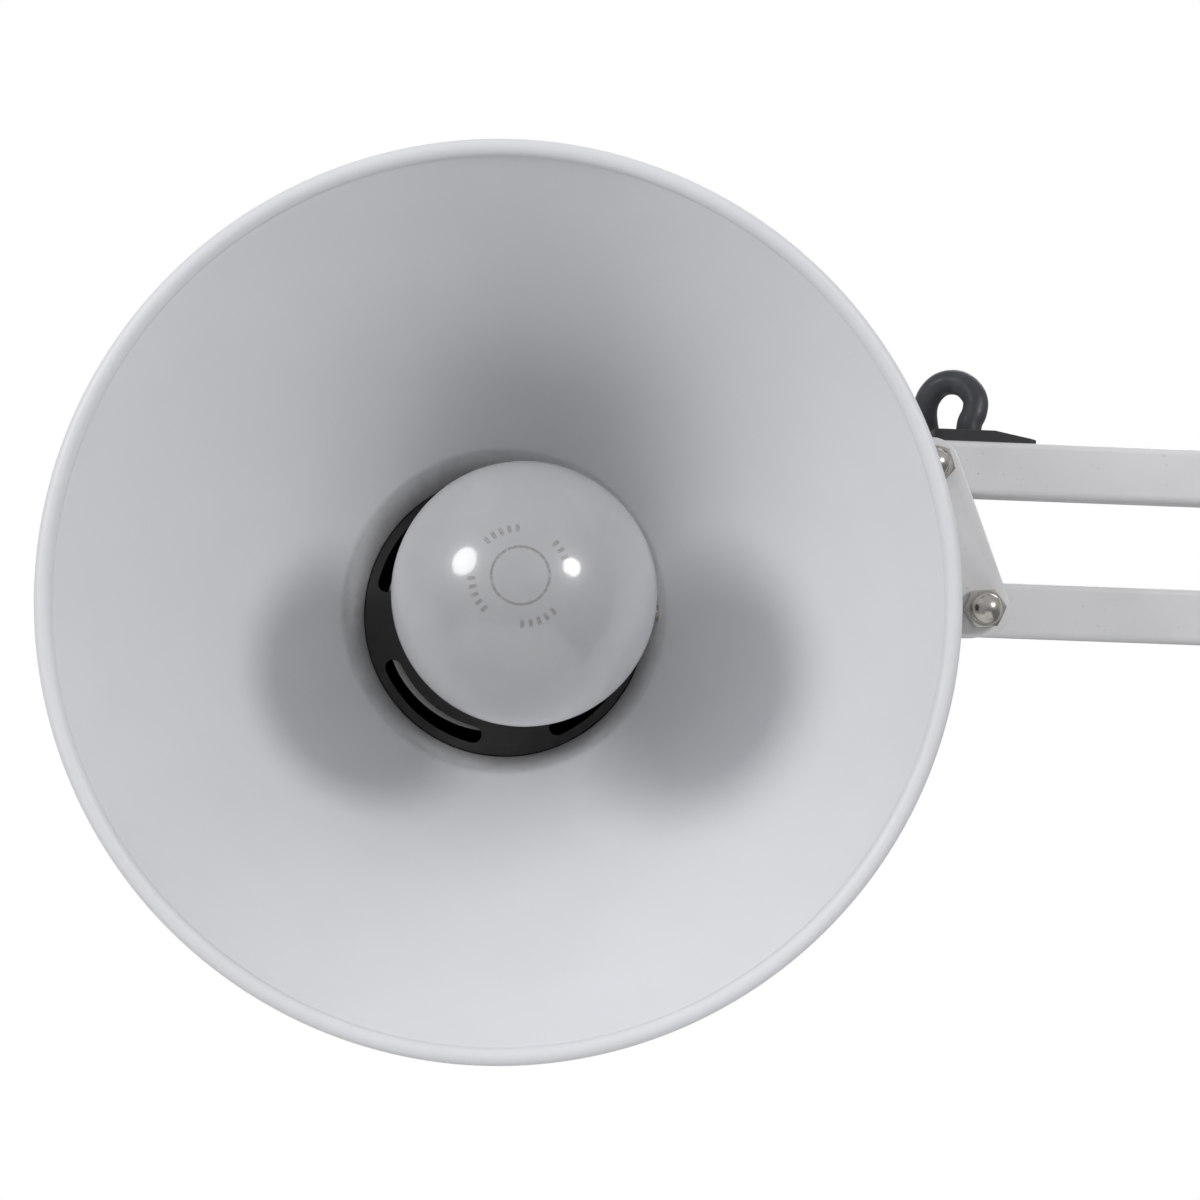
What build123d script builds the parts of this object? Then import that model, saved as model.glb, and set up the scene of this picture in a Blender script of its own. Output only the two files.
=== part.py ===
from build123d import *
import os
from math import cos, pi, radians, sin, tan

os.makedirs("parts", exist_ok=True)

# Spring-balanced clamp lamp, in millimetres. z = 0 is the desk top, under the clamp's upper jaw.
# x = y = 0 is the swivel post. The arms lie in the plane y = 0, and the shade opens towards -Y.

# arms
ARM = 350.0            # pivot to pivot, both arms
BAR = 12.0             # square tube, outside
BAR_WALL = 1.0
BAR_END = 8.0          # tube beyond each pivot
LEAN = 20.0            # lower arm, from upright towards +X, degrees
RISE = 2.0             # upper arm, from level, rising to the head, degrees
PLATE_IN = BAR / 2 + 0.3
PLATE_OUT = PLATE_IN + 2.0
BOLT_R = 2.5           # M5
BORE_R = BOLT_R + 0.05
NUT_AF = 8.0

# head, as radius and depth behind the rim's plane
RIM_Y = -51.0
RIM_R = 92.5
BEAD_R = 1.8
SHADE_WALL = 1.0
THROAT = (37.4, 78.0)
NECK_END = (35.15, 118.0)
CAP_FRONT, CAP_BACK, CAP_R = 109.0, 171.0, 37.9
VENT_DEPTH = 117.0
SLOT_R, SLOT_WIDTH, SLOT_SPAN = 30.65, 4.1, 50.0
HOLDER_DEPTH = 94.0    # where the bulb and its holder lean about, on the shade's axis
BULB_R = 28.0
BULB_CENTRE = -66.0    # of its round end, from there
STAND_OFF_X = 23.6
CAP_WALL = 1.0
CAP_SCREW_DEPTH = 113.5
CAP_SCREW_ANGLES = (90, 210, 330)
RIVET_DEPTHS = (92.0, 102.0)

# flexible cable
FLEX_R = 2.8

# clamp
DESK = 25.0            # desk thickness at rest
POST_R = 6.0
SOCKET_TOP = 28.0
SCREW_R = 4.95
SCREW_X = -2.0

# cable fittings
PLUG_DEPTH = 4.8       # end plug, past the pivot
SPRING_PIN_R = 1.75
ENTRY_H = 2.6
EXIT = 22.0            # cable hole from the pivot, along a bar
HEAD_EXIT = 9.4
EYE_Y = 15.4
ELBOW_CLIP_Y = 21.0
BASE_CLIP = (8.0, 22.0, 52.0)
GLAND_DEPTH = 140.0
PLUG_Z = 6.6
COIL_CENTRE = (-58.0, 95.0)
COIL_R = (19.8, 42.2)


def shift(p, dx, dz):
    """A point of the arm plane, moved."""
    return (p[0] + dx, p[1] + dz)


LOWER_DIR = (sin(radians(LEAN)), cos(radians(LEAN)))
UPPER_DIR = (-cos(radians(RISE)), sin(radians(RISE)))
S1, S2 = (-15.0, 58.0), (15.0, 58.0)
E1 = shift(S1, ARM * LOWER_DIR[0], ARM * LOWER_DIR[1])
E2 = shift(S2, ARM * LOWER_DIR[0], ARM * LOWER_DIR[1])
E4 = shift(E1, -10.0, 24.0)
E3 = shift(E4, -10.9, 31.4)
P1 = shift(E3, ARM * UPPER_DIR[0], ARM * UPPER_DIR[1])
P2 = shift(E4, ARM * UPPER_DIR[0], ARM * UPPER_DIR[1])
HEAD = shift(P2, -104.7, 0.5)
P3 = shift(HEAD, 82.0, 0.0)
SPRING_Y = 14.0
SPRING_R = 4.5
LOWER_HOOK = shift(S1, -24.0, 4.0)
UPPER_HOOK = shift(E3, 8.0, 24.0)
LOWER_STUD = shift(S1, 115.0 * LOWER_DIR[0], 115.0 * LOWER_DIR[1])
UPPER_STUD = shift(E3, 120.0 * UPPER_DIR[0], 120.0 * UPPER_DIR[1])


# ---------------------------------------------------------------- helpers

def block(x, y, z):
    """A box between (low, high) pairs."""
    place = Pos((x[0] + x[1]) / 2, (y[0] + y[1]) / 2, (z[0] + z[1]) / 2)
    return place * Box(x[1] - x[0], y[1] - y[0], z[1] - z[0])


def rod_y(p, r, y0, y1):
    return Pos(p[0], (y0 + y1) / 2, p[1]) * Rot(90, 0, 0) * Cylinder(r, y1 - y0)


def rod_z(x, y, r, z0, z1):
    return Pos(x, y, (z0 + z1) / 2) * Cylinder(r, z1 - z0)


def rod_x(y, z, r, x0, x1):
    return Pos((x0 + x1) / 2, y, z) * Rot(0, 90, 0) * Cylinder(r, x1 - x0)


def hex_y(p, across, y0, y1):
    """A hexagonal prism along Y, between its flats."""
    face = Plane.XZ.offset(-y1) * Pos(*p) * RegularPolygon(across / 2, 6, major_radius=False)
    return extrude(face, amount=y1 - y0)


def outline(*points):
    return make_face(Polyline(*points, close=True))


def flat(points, r, y0, y1):
    """A plate in the arm plane, with its corners rounded about the points."""
    face = offset(outline(*points), amount=r, kind=Kind.ARC)
    return extrude(Plane.XZ.offset(-y1) * face, amount=y1 - y0)


def spun(face):
    """A (radius, depth) profile, spun about the shade's axis."""
    return Pos(HEAD[0], RIM_Y, HEAD[1]) * revolve(face, axis=Axis.Y)


def along(p, direction):
    """The frame of a bar: origin at its pivot p, +X along it."""
    return Plane(origin=(p[0], 0, p[1]), x_dir=(direction[0], 0, direction[1]), z_dir=(0, -1, 0)).location


def cable(points):
    """A round tube along straight runs joined by arcs as large as the runs allow."""
    p = [Vector(*q) for q in points]
    radii = []
    for a, b, c in zip(p, p[1:], p[2:]):
        turn = radians((b - a).get_angle(c - b))
        shorter = min((b - a).length, (c - b).length)
        radii.append(0.45 * shorter / tan(turn / 2))
    path = FilletPolyline(*p, radius=radii)
    return sweep(Plane(origin=path @ 0, z_dir=path % 0) * Circle(FLEX_R), path=path)


def union(solids):
    """The solids as one."""
    whole = solids[0]
    for s in solids[1:]:
        whole = whole + s
    return whole


def save(name, *solids):
    """Write one node: one solid, or a group of separate ones."""
    shape = solids[0] if len(solids) == 1 else Compound(children=list(solids))
    export_step(shape, f"parts/{name}.step")


def bolt(p):
    """A hex bolt through both side plates, its head behind."""
    return hex_y(p, NUT_AF, PLATE_OUT, PLATE_OUT + 3.5) + rod_y(p, BOLT_R, -PLATE_OUT - 3.0, PLATE_OUT)


def dome_nut(p):
    """A dome nut on the front plate."""
    face = -PLATE_OUT
    nut = hex_y(p, NUT_AF, face - 4.0, face) + rod_y(p, 3.3, face - 5.0, face - 4.0)
    dome = Pos(p[0], face - 5.0, p[1]) * Sphere(3.3)
    return nut + dome - rod_y(p, BOLT_R + 0.02, face - 3.2, face)


def fasteners(*points):
    """A bolt and a dome nut at each pivot."""
    return [f(p) for p in points for f in (bolt, dome_nut)]


def pin_holes(points, y0, y1):
    return union([rod_y(p, BOLT_R + 0.02, y0, y1) for p in points])


def square_bar(place, holes):
    """A square tube with its two pivot bores, and holes cut in its own frame."""
    section = RectangleRounded(BAR, BAR, 1.4) - RectangleRounded(BAR - 2 * BAR_WALL, BAR - 2 * BAR_WALL, 0.5)
    tube = extrude(Plane.YZ.offset(-BAR_END) * section, amount=ARM + 2 * BAR_END)
    for x in (0, ARM):
        tube -= Pos(x, 0, 0) * Cylinder(BORE_R, 2 * BAR)
    for hole in holes:
        tube -= hole
    return place * tube


def end_plug(place, x, outward):
    """A nylon plug that closes a bar's end and carries the pivot bolt."""
    inner = BAR - 2 * BAR_WALL - 0.4
    body = Pos(x + outward * (BAR_END - PLUG_DEPTH) / 2, 0, 0) * Box(BAR_END + PLUG_DEPTH, inner, inner)
    lip = Pos(x + outward * (BAR_END + 0.75), 0, 0) * Box(1.5, BAR - 0.4, BAR - 0.4)
    return place * (body + lip - Pos(x, 0, 0) * Cylinder(BORE_R, 2 * BAR))


def cable_entry(place, x, taper, turn):
    """A wedge-shaped grommet on a bar's face, thinning along the bar towards taper, 1 or -1."""
    side = outline((-8.2, 0), (-8.2, ENTRY_H), (5.0, ENTRY_H), (14.5, 0.8), (14.5, 0))
    wedge = extrude(Plane.XZ.offset(-4.5) * side, amount=9.0)
    wedge = fillet(wedge.edges().filter_by(Axis.Z), 1.5)
    wedge -= Cylinder(FLEX_R + 0.02, 20)
    facing = Rot(0, 0, 90 - 90 * taper)
    return place * Pos(x, 0, 0) * Rot(turn, 0, 0) * Pos(0, 0, BAR / 2) * facing * wedge


def cable_clip(p, y, axis, foot):
    """A ring that holds the cable, on a stem from a plate's rear face."""
    ring_place = Plane(origin=(p[0], y, p[1]), z_dir=axis).location
    body = ring_place * Cylinder(4.6, 6.0) + rod_y(p, 2.2, foot, y)
    return body - ring_place * Cylinder(FLEX_R + 0.03, 20)


def spring(a, b, y):
    """A close-wound tension spring's outer shape, its hooks round two pins."""
    axis = Vector(b[0] - a[0], 0, b[1] - a[1])
    place = Plane(origin=(a[0], y, a[1]), z_dir=axis).location
    length = axis.length
    coil = Pos(0, 0, length / 2) * Cylinder(SPRING_R, length - 26.0)
    coil -= Pos(0, 0, length / 2) * Cylinder(SPRING_R - 1.2, length - 28.4)
    wire = Pos(0, 0, length / 2) * Cylinder(0.6, length - 5.0)
    wire -= Pos(0, 0, length / 2) * Cylinder(2.0, length - 28.4)
    loops = [rod_y(p, SPRING_PIN_R + 1.3, y - 0.6, y + 0.6) for p in (a, b)]
    pins = [rod_y(p, SPRING_PIN_R + 0.1, y - 2, y + 2) for p in (a, b)]
    return place * coil + place * wire + loops[0] + loops[1] - pins[0] - pins[1]


# ---------------------------------------------------------------- clamp

boss = rod_z(0, 0, 12.0, 7.0, SOCKET_TOP)
frame_side = outline((-26, 1.5), (22, 1.5), (22, -68), (-18, -68), (-18, -78), (30, -78), (30, 8), (-26, 8))
frame_side = fillet(frame_side.vertices().sort_by(Axis.X)[-2:], 7.0)
clamp = extrude(Plane.XZ.offset(-16) * frame_side, amount=32.0)
clamp += boss
clamp += rod_z(SCREW_X, 0, 10.0, -84, -66)
clamp += block((26, 34), (-4, 4), (-66, -4))
clamp -= rod_z(0, 0, 8.02, 4.0, 40)
clamp -= rod_z(SCREW_X, 0, SCREW_R + 0.08, -90, -60)
save("clamp_frame", clamp)
save("jaw_pad", block((-25, 20), (-15, 15), (0, 1.5)))
bush = rod_z(0, 0, 8.0, 4.05, SOCKET_TOP) + rod_z(0, 0, 11.0, SOCKET_TOP, SOCKET_TOP + 1.3)
save("socket_bush", bush - rod_z(0, 0, POST_R + 0.05, 4.0, 40))

pad = rod_z(SCREW_X, 0, 16.0, -DESK - 4.0, -DESK) + rod_z(SCREW_X, 0, 8.5, -DESK - 9.0, -DESK - 4.0)
save("pressure_pad", pad - rod_z(SCREW_X, 0, SCREW_R + 0.1, -DESK - 9.5, -DESK - 3.0))
screw_top = -DESK - 3.2
screw = rod_z(SCREW_X, 0, SCREW_R, screw_top - 92.0, screw_top)
save("clamp_screw", screw)
hub = rod_z(SCREW_X, 0, 8.0, screw_top - 98.0, screw_top - 84.0)
wing_ends = [(SCREW_X - 19, screw_top - 93.0), (SCREW_X + 19, screw_top - 93.0), (SCREW_X, screw_top - 89.0)]
wings = flat(wing_ends,
             4.0, -2.6, 2.6)
save("clamp_handle", hub + wings - rod_z(SCREW_X, 0, SCREW_R + 0.02, screw_top - 92.0, screw_top))

# ---------------------------------------------------------------- shoulder bracket

post = rod_z(0, 0, POST_R, 4.4, 29.5) + rod_z(0, 0, 11.0, 29.5, 31.5)
post += rod_z(0, 0, 4.0, 31.5, 33.6) + rod_z(0, 0, 6.0, 33.6, 35.6)
save("swivel_post", post)
cheek = [LOWER_HOOK, S2, (18.0, 40.0), (-18.0, 40.0)]
web = block((-22, 22), (-PLATE_OUT, PLATE_OUT), (31.55, 33.55))
holes = pin_holes((S1, S2), -20, 20) + rod_y(LOWER_HOOK, SPRING_PIN_R + 0.02, -20, 20)
front_cheek = flat(cheek, 6.5, -PLATE_OUT, -PLATE_IN)
rear_cheek = flat(cheek, 6.5, PLATE_IN, PLATE_OUT)
bracket = web + front_cheek + rear_cheek - holes - rod_z(0, 0, 4.02, 30, 36)
save("shoulder_bracket", bracket)
save("shoulder_fasteners", rod_y(LOWER_HOOK, SPRING_PIN_R, -18, 18), *fasteners(S1, S2))

# ---------------------------------------------------------------- arms

lower_front_place = along(S1, LOWER_DIR)
lower_rear_place = along(S2, LOWER_DIR)
to_elbow = (-UPPER_DIR[0], -UPPER_DIR[1])
upper_top_place = along(P1, to_elbow)
upper_bottom_place = along(P2, to_elbow)

rear, top = 180, -90


def cable_hole(x, turn):
    """The hole in a bar's wall under a cable entry."""
    return Pos(x, 0, 0) * Rot(turn, 0, 0) * Pos(0, 0, BAR / 2) * Cylinder(FLEX_R + 0.25, 4)


def stud_hole(x):
    """The cross hole for the spring studs."""
    return Pos(x, 0, 0) * Cylinder(SPRING_PIN_R + 0.02, 2 * BAR)


lower_holes = [cable_hole(EXIT, rear), cable_hole(ARM - EXIT, rear), stud_hole(115.0)]
upper_holes = [cable_hole(HEAD_EXIT, top), cable_hole(ARM - EXIT, rear), stud_hole(ARM - 120.0)]
bars = {
    "lower_bar_front": (lower_front_place, lower_holes),
    "lower_bar_rear": (lower_rear_place, []),
    "upper_bar_top": (upper_top_place, upper_holes),
    "upper_bar_bottom": (upper_bottom_place, []),
}
for name, (place, cuts) in bars.items():
    save(name, square_bar(place, cuts))
    save(name.replace("bar_", "plugs_"), end_plug(place, 0, -1), end_plug(place, ARM, 1))

save("lower_cable_entries",
     cable_entry(lower_front_place, EXIT, 1, rear), cable_entry(lower_front_place, ARM - EXIT, -1, rear))
save("upper_cable_entries",
     cable_entry(upper_top_place, HEAD_EXIT, 1, top), cable_entry(upper_top_place, ARM - EXIT, -1, rear))
for name, p in (("lower_spring_studs", LOWER_STUD), ("upper_spring_studs", UPPER_STUD)):
    save(name, rod_y(p, SPRING_PIN_R, -18, -3.6), rod_y(p, SPRING_PIN_R, 3.6, 18))
save("lower_springs", *[spring(LOWER_HOOK, LOWER_STUD, y) for y in (-SPRING_Y, SPRING_Y)])
save("upper_springs", *[spring(UPPER_HOOK, UPPER_STUD, y) for y in (-SPRING_Y, SPRING_Y)])

# ---------------------------------------------------------------- elbow and head link

elbow_points = [E1, E2, UPPER_HOOK, E3, E4]
elbow_holes = pin_holes((E1, E2, E3, E4), -20, 20) + rod_y(UPPER_HOOK, SPRING_PIN_R + 0.02, -20, 20)
save("elbow_plate_front", flat(elbow_points, 6.2, -PLATE_OUT, -PLATE_IN) - elbow_holes)
save("elbow_plate_rear", flat(elbow_points, 6.2, PLATE_IN, PLATE_OUT) - elbow_holes)
save("elbow_fasteners", rod_y(UPPER_HOOK, SPRING_PIN_R, -18, 18), *fasteners(E1, E2, E3, E4))

link_holes = pin_holes((P1, P2, P3), -20, 20)
save("link_plate_front", flat([P1, P2, P3], 6.2, -PLATE_OUT, -PLATE_IN) - link_holes)
save("link_plate_rear", flat([P1, P2, P3], 6.2, PLATE_IN, PLATE_OUT) - link_holes)
save("link_fasteners", *fasteners(P1, P2))

eye_ring = Pos(P3[0], EYE_Y, P3[1]) * (Cylinder(4.8, 6.0) - Cylinder(FLEX_R + 0.03, 20))
eye_bolt = rod_y(P3, BOLT_R, -17.0, PLATE_OUT) + hex_y(P3, NUT_AF, PLATE_OUT, PLATE_OUT + 2.5)
eye_bolt += rod_y(P3, 2.4, PLATE_OUT, EYE_Y - 3.4)
save("tilt_eye_bolt", eye_bolt + eye_ring)
lobes = [rod_y(shift(P3, 5.6 * cos(k * pi / 3), 5.6 * sin(k * pi / 3)), 2.4, -19.0, -11.0) for k in range(6)]
knob = union(lobes) + rod_y(P3, 6.4, -19.0, -11.0) + rod_y(P3, 5.0, -11.0, -8.6)
save("tilt_knob", knob - rod_y(P3, BORE_R, -17.6, 0))

knuckle = rod_y(P3, 8.0, -BAR / 2 + 0.1, BAR / 2 - 0.1)
knuckle_block = block((HEAD[0], P3[0]), (-5.9, 5.9), (P3[1] - 9, P3[1] + 9))
knuckle += rod_x(0, P3[1], 7.2, HEAD[0] + 67.3, P3[0]) & knuckle_block
knuckle += rod_x(0, P3[1], 7.2, HEAD[0] + 67.3, HEAD[0] + 71.5)
knuckle -= rod_y(P3, BORE_R, -20, 20)
save("head_knuckle", knuckle - rod_x(0, P3[1], 4.05, HEAD[0] + 60, HEAD[0] + 78.6))

# ---------------------------------------------------------------- lamp head

hx, hz = HEAD
stem = rod_x(0, hz, 4.0, hx + 63.95, hx + 78.3) + rod_x(0, hz, 5.5, hx + 62.4, hx + 63.95)
stem += rod_x(0, hz, 5.5, hx + 66.05, hx + 67.0)
save("swivel_stem", stem)

strap_inside = [(64.0, 43.5), (64.0, 63.6), (38.62, 86.0), (37.55, 107.0)]
strap_outside = [(66.0, 43.5), (66.0, 64.6), (40.6, 87.2), (39.55, 107.0)]
strap_face = outline(*strap_inside, *reversed(strap_outside))
strap = Pos(hx, RIM_Y, hz) * extrude(Plane.XY.offset(-8) * strap_face, amount=16)
strap -= rod_x(0, hz, 4.02, hx + 60, hx + 70)
rivet_holes = [rod_x(RIM_Y + d, hz, 2.02, hx + 30, hx + 50) for d in RIVET_DEPTHS]
save("shade_bracket", strap - rivet_holes[0] - rivet_holes[1])

inner = [(RIM_R - 2 * BEAD_R, BEAD_R), THROAT, NECK_END]
wall = [(NECK_END[0] + SHADE_WALL, NECK_END[1]), (THROAT[0] + 1.1, THROAT[1] + 0.4)]
wall += [(RIM_R - 1.8, BEAD_R + 0.9)]
shade = spun(outline(*inner, *wall))
shade += Pos(hx, RIM_Y + BEAD_R, hz) * Rot(90, 0, 0) * Torus(RIM_R - BEAD_R, BEAD_R)


def radial(angle, depth, r, r0, r1):
    """A rod out from the shade's axis, at an angle and a depth."""
    spoke = Pos((r0 + r1) / 2, 0, 0) * Rot(0, 90, 0) * Cylinder(r, r1 - r0)
    return Pos(hx, RIM_Y + depth, hz) * Rot(0, -angle, 0) * spoke


screw_holes = union([radial(a, CAP_SCREW_DEPTH, 1.52, 30, 45) for a in CAP_SCREW_ANGLES])
save("shade", shade - rivet_holes[0] - rivet_holes[1] - screw_holes)

vent_face = Circle(34.9) - Circle(21.6)
for angle in (50, 140, 230, 320):
    vent_face -= SlotArc(CenterArc((0, 0), SLOT_R, angle - SLOT_SPAN / 2, SLOT_SPAN), SLOT_WIDTH)
stand_off = [rod_y(shift(HEAD, side * STAND_OFF_X, 0), 1.6, RIM_Y + 117.5, RIM_Y + 128.0) for side in (-1, 1)]
vent = extrude(Plane.XZ.offset(-(RIM_Y + VENT_DEPTH + 1.2)) * Pos(hx, hz) * vent_face, amount=1.2)
save("vent_plate", vent + stand_off[0] + stand_off[1])

outer_cap = rod_y(HEAD, CAP_R, RIM_Y + CAP_FRONT, RIM_Y + CAP_BACK)
outer_cap = fillet(outer_cap.edges().group_by(Axis.Y)[-1], 9.0)
inner_cap = rod_y(HEAD, CAP_R - CAP_WALL, RIM_Y + CAP_FRONT - CAP_WALL, RIM_Y + CAP_BACK - CAP_WALL)
inner_cap = fillet(inner_cap.edges().group_by(Axis.Y)[-1], 9.0 - CAP_WALL)
back_y = RIM_Y + CAP_BACK
vents = [rod_y(shift(HEAD, 22 * cos(radians(a)), 22 * sin(radians(a))), 2.6, back_y - 6, back_y + 6)
         for a in range(0, 360, 30)]
cap = outer_cap - inner_cap - union(vents) - screw_holes
cap -= rod_y(HEAD, 9.6, back_y - 6, back_y + 6)
cap -= rod_x(RIM_Y + GLAND_DEPTH, hz, 4.6, hx + 30, hx + 45)
save("back_cap", cap)
cap_screws = [radial(a, CAP_SCREW_DEPTH, 1.5, 35.7, CAP_R + 0.05)
              + radial(a, CAP_SCREW_DEPTH, 2.8, CAP_R + 0.05, CAP_R + 1.6) for a in CAP_SCREW_ANGLES]
rivets = []
for d in RIVET_DEPTHS:
    body = rod_x(RIM_Y + d, hz, 2.0, hx + 35.2, hx + 42.2)
    rivets.append(body + rod_x(RIM_Y + d, hz, 3.4, hx + 40.6, hx + 42.2))
save("head_fasteners", *cap_screws, *rivets)

gland_y = RIM_Y + GLAND_DEPTH
gland = rod_x(gland_y, hz, 4.5, hx + 35.0, hx + 39.2) + rod_x(gland_y, hz, 7.0, hx + 39.2, hx + 43.0)
gland += Pos(hx + 51.5, gland_y, hz) * Rot(0, 90, 0) * Cone(6.0, 3.7, 17.0)
save("cable_gland", gland - rod_x(gland_y, hz, FLEX_R + 0.02, hx + 30, hx + 65))

switch = rod_y(HEAD, 9.4, back_y - 12, back_y) + rod_y(HEAD, 12.0, back_y + 0.1, back_y + 2.6)
switch += rod_y(HEAD, 9.4, back_y - 1, back_y + 1)
save("switch_body", switch - rod_y(HEAD, 6.3, back_y - 8, back_y + 5))
save("switch_button", fillet(rod_y(HEAD, 6.0, back_y - 3.5, back_y + 7.0).edges().group_by(Axis.Y)[-1], 1.2))

# bulb and lampholder lean together about a point on the shade's axis
lean = Pos(hx, RIM_Y + HOLDER_DEPTH, hz) * Rot(-1.8, 0, 4.0)


def bulb_face(inset):
    """Half the bulb's section as (radius, distance from the lean point), tip at -Y."""
    r = BULB_R - inset
    tip = (0, BULB_CENTRE - r)
    start = (r * cos(radians(35)), BULB_CENTRE + r * sin(radians(35)))
    middle = (r * cos(radians(-27.5)), BULB_CENTRE + r * sin(radians(-27.5)))
    shoulder = (15.6 - inset, -38.6)
    neck = (13.4 - inset, -30.0)
    end = (13.4 - inset, -19.8)
    edges = ThreePointArc(tip, middle, start) + Line(start, shoulder) + Line(shoulder, neck)
    edges += Line(neck, end) + Line(end, (0, end[1])) + Line((0, end[1]), tip)
    return make_face(edges)


def turned(face):
    """A section spun about the bulb's axis, where the bulb is."""
    return lean * revolve(face, axis=Axis.Y)


def ring(r0, r1, y0, y1):
    """A tube about the bulb's axis."""
    return turned(outline((r0, y0), (r1, y0), (r1, y1), (r0, y1)))


save("bulb_glass", turned(bulb_face(0)) - turned(bulb_face(0.9)))
thread = [(12.3, -22.0), (14.0, -22.0), (14.0, -17.6)]
for k in range(5):
    thread += [(12.9, -15.6 + 3.6 * k), (13.3, -13.8 + 3.6 * k)]
thread += [(12.4, 4.0), (12.0, 4.0), (12.3, -17.0)]
base = turned(outline(*thread)) - ring(12.0, 13.45, -23.0, -19.7)
save("bulb_cap", base)
button = turned(outline((0, 2.0), (11.8, 2.0), (11.8, 4.4), (6.0, 8.0), (4.0, 9.2), (0, 9.2)))
save("bulb_contact", button)
stem_face = outline((0, -40), (3, -40), (3, -24), (6, -12), (6, 1.8), (0, 1.8))
save("bulb_stem", turned(stem_face))

shell = ring(13.6, 14.2, -14.0, 9.6) + ring(0, 14.2, 9.6, 10.4)
save("holder_shell", shell)
cup = ring(14.4, 19.0, -17.5, 10.6) + ring(0, 19.0, 10.6, 20.0)
cup += ring(0, 17.0, 20.0, 33.0) + ring(16.5, 28.2, 27.4, 29.8)
hollow = [rod_y(shift(HEAD, dx, 0), 2.1, RIM_Y + 112, RIM_Y + 132) for dx in (-STAND_OFF_X, STAND_OFF_X)]
save("lampholder", cup - hollow[0] - hollow[1])

# ---------------------------------------------------------------- flexible cable

RUN_CORNER = 5.6


def inner_run(name, place, first, last, first_up, last_up):
    """The cable inside a bar, from one entry's mouth to the other's."""
    line = [(first, *first_up), (first, 0, 0), (last, 0, 0), (last, *last_up)]
    path = FilletPolyline(*line, radius=RUN_CORNER)
    save(name, place * sweep(Plane(origin=path @ 0, z_dir=path % 0) * Circle(FLEX_R), path=path))


mouth = BAR / 2 + ENTRY_H
inner_run("lower_flex_run", lower_front_place, EXIT, ARM - EXIT, (0, -mouth), (0, -mouth))
inner_run("upper_flex_run", upper_top_place, HEAD_EXIT, ARM - EXIT, (mouth, 0), (0, -mouth))


def world(place, x, y, z):
    """A bar's own point, in the lamp's frame."""
    q = (place * Pos(x, y, z)).position
    return (q.X, q.Y, q.Z)


def about(point, offsets):
    """Points given from a place in the arm plane, as (x, y, z) with y from the arm plane."""
    return [(point[0] + dx, y, point[1] + dz) for dx, y, dz in offsets]


head_flex = about(HEAD, [(52, 89, 0), (68, 89, 0), (82, 85, -4.5), (91, 73, -11), (93, 57, -18),
                         (90, 39, -22), (85, 24, -20), (82, EYE_Y, -12), (82, EYE_Y, 0)])
save("head_flex", cable(head_flex))
loop_end = world(upper_top_place, HEAD_EXIT, mouth, 0)
above_end = world(upper_top_place, HEAD_EXIT, mouth + 2.0, 0)
head_loop = about(HEAD, [(82, EYE_Y, 0), (82, EYE_Y, 9), (86, 17.8, 17.5), (93.8, 18.5, 24.5),
                         (99.4, 16.8, 33), (96, 12, 40.6), (95, 8.4, 46.6), (98, 5.6, 50.8),
                         (102.6, 3, 50.8), (105.5, 1, 47), (104.9, 0, 43.2)])
save("head_loop", cable(head_loop + [above_end, loop_end]))

upper_exit = world(upper_top_place, ARM - EXIT, 0, -mouth)
elbow_upper = [upper_exit, (upper_exit[0], 17, upper_exit[2])]
elbow_upper += about(E3, [(-17, 24, -1.5), (-6, 26, -5), (6, 24, -10), (15, ELBOW_CLIP_Y, -17)])
elbow_clip = shift(E3, 20.0, -23.0)
elbow_upper += [(elbow_clip[0], ELBOW_CLIP_Y, elbow_clip[1])]
save("elbow_flex_upper", cable(elbow_upper))
lower_exit = world(lower_front_place, ARM - EXIT, 0, -mouth)
elbow_lower = about(elbow_clip, [(0, ELBOW_CLIP_Y, 0), (7, ELBOW_CLIP_Y, -8.4)])
elbow_lower += about(elbow_clip, [(12, 23, -18), (12.5, 25, -30)])
elbow_lower += about((lower_exit[0], lower_exit[2]), [(12, 25.5, 5), (4, 24, 0.5), (0, 17, 0)])
save("elbow_flex_lower", cable(elbow_lower + [lower_exit]))
save("elbow_cable_clip", cable_clip(elbow_clip, ELBOW_CLIP_Y, (5, 0, -6), PLATE_OUT))

base_exit = world(lower_front_place, EXIT, 0, -mouth)
base_loop = [base_exit, (base_exit[0], 17.5, base_exit[2])]
base_loop += [(-4.5, 26, 77.5), (2.5, 27.5, 73.5), (BASE_CLIP[0], BASE_CLIP[1], 67), BASE_CLIP]
save("base_flex", cable(base_loop))
clip_x, clip_y, clip_z = BASE_CLIP
base_clip = cable_clip((clip_x, clip_z), clip_y, (0, 0, -1), PLATE_OUT)
relief = Pos(clip_x, clip_y, clip_z - 11.5) * Cone(3.5, 4.6, 17.0)
save("base_cable_clip", base_clip + relief - rod_z(clip_x, clip_y, FLEX_R + 0.03, 0, 90))

# mains lead: down to the desk, a coil of the spare length, and a tail to the plug
lead = [BASE_CLIP, (8, 22, 27), (7.6, 24, 17), (6.8, 29.5, 9), (5.2, 37.5, 4), (2, 47, FLEX_R)]
lead += [(-5, 55, FLEX_R), (-18, 59.5, FLEX_R), (-32, 59.5, FLEX_R), (-46, 56.6, FLEX_R)]
lead_tube = cable(lead)
tail = [(-72, 53.4, 8.2), (-84, 52.2, 6.6), (-95, 52.6, 4.8), (-105, 54.5, 5.4), (-114, 56.5, PLUG_Z)]
save("mains_lead", lead_tube, cable(tail))
coil_x, coil_y = COIL_CENTRE
coil = rod_z(coil_x, coil_y, COIL_R[1], 0, 4 * FLEX_R) - rod_z(coil_x, coil_y, COIL_R[0], -1, 20)
save("mains_coil", coil)

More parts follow.
